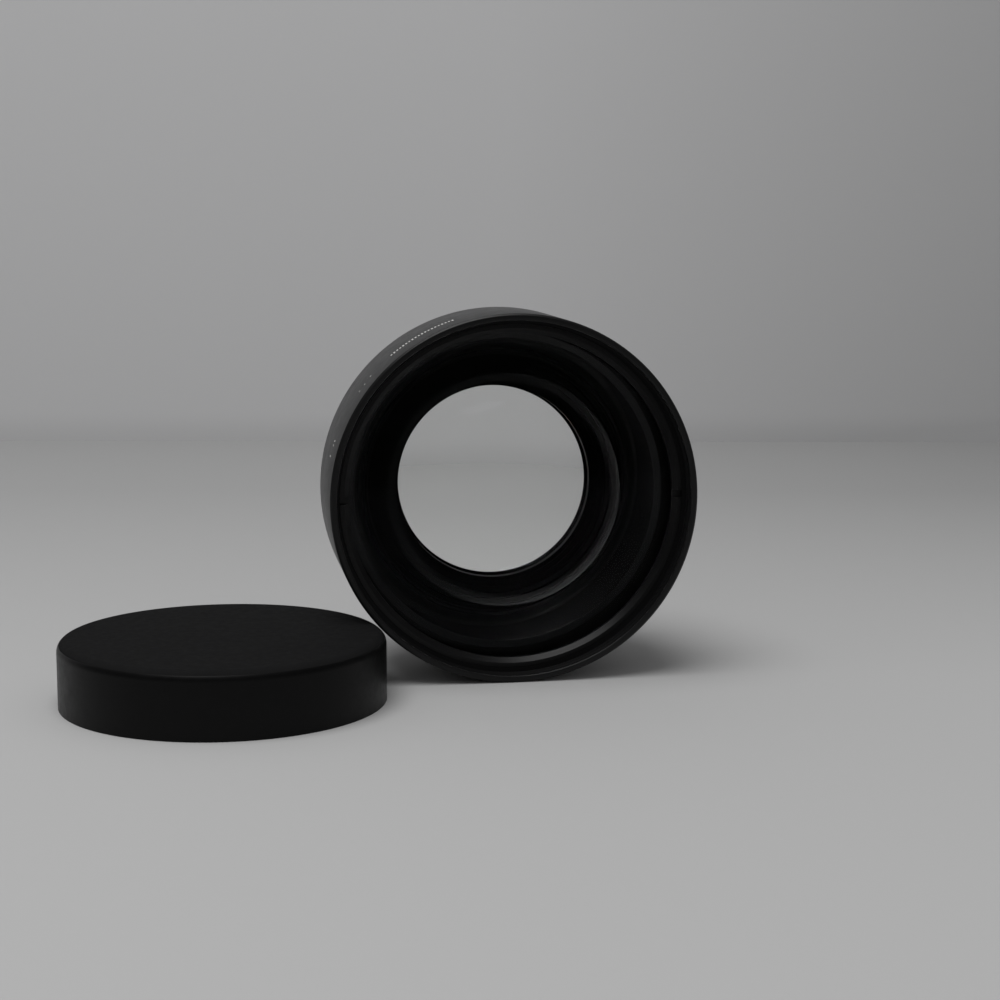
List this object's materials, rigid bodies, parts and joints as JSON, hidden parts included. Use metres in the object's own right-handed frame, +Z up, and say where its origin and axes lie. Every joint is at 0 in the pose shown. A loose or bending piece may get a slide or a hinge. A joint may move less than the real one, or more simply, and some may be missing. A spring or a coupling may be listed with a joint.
{
  "type": "wide angle converter lens",
  "caption": "Wide angle converter for a camera lens: black barrel with a large front glass, stepped inner tube, rear threaded mount, and its push-on rear cap beside it.",
  "frame": {"origin": "on the optical axis, in the plane of the rear mounting face, where the male thread starts", "axes": "+Y along the optical axis, out of the rear; the front glass faces -Y; +Z up; the cap lies at -X"},
  "size_m": [0.1371, 0.0874, 0.08],
  "materials": {
    "black_anodised": "satin black anodised aluminium",
    "blackened_metal": "matt black anodised aluminium",
    "coated_glass": "polished, coated against reflections",
    "black_rubber": "matt black",
    "black_plastic": "fine matt black moulding",
    "black_steel": "black oxide on steel"
  },
  "bodies": {
    "root": {"front_barrel": "black_anodised", "front_retaining_ring": "blackened_metal", "front_lens": "coated_glass", "front_lens_seal": "black_rubber", "baffle_tube": "blackened_metal", "aperture_stop": "blackened_metal", "rear_barrel": "black_anodised", "rear_crown_lens": "coated_glass", "rear_flint_lens": "coated_glass", "rear_lens_shim": "black_plastic", "rear_retaining_ring": "blackened_metal", "mount_ring": "black_anodised", "rear_cap": "black_plastic", "barrel_screw_1": "black_steel", "mount_screw_1": "black_steel", "barrel_screw_2": "black_steel", "mount_screw_2": "black_steel", "barrel_screw_3": "black_steel", "mount_screw_3": "black_steel"}
  },
  "joints": []
}
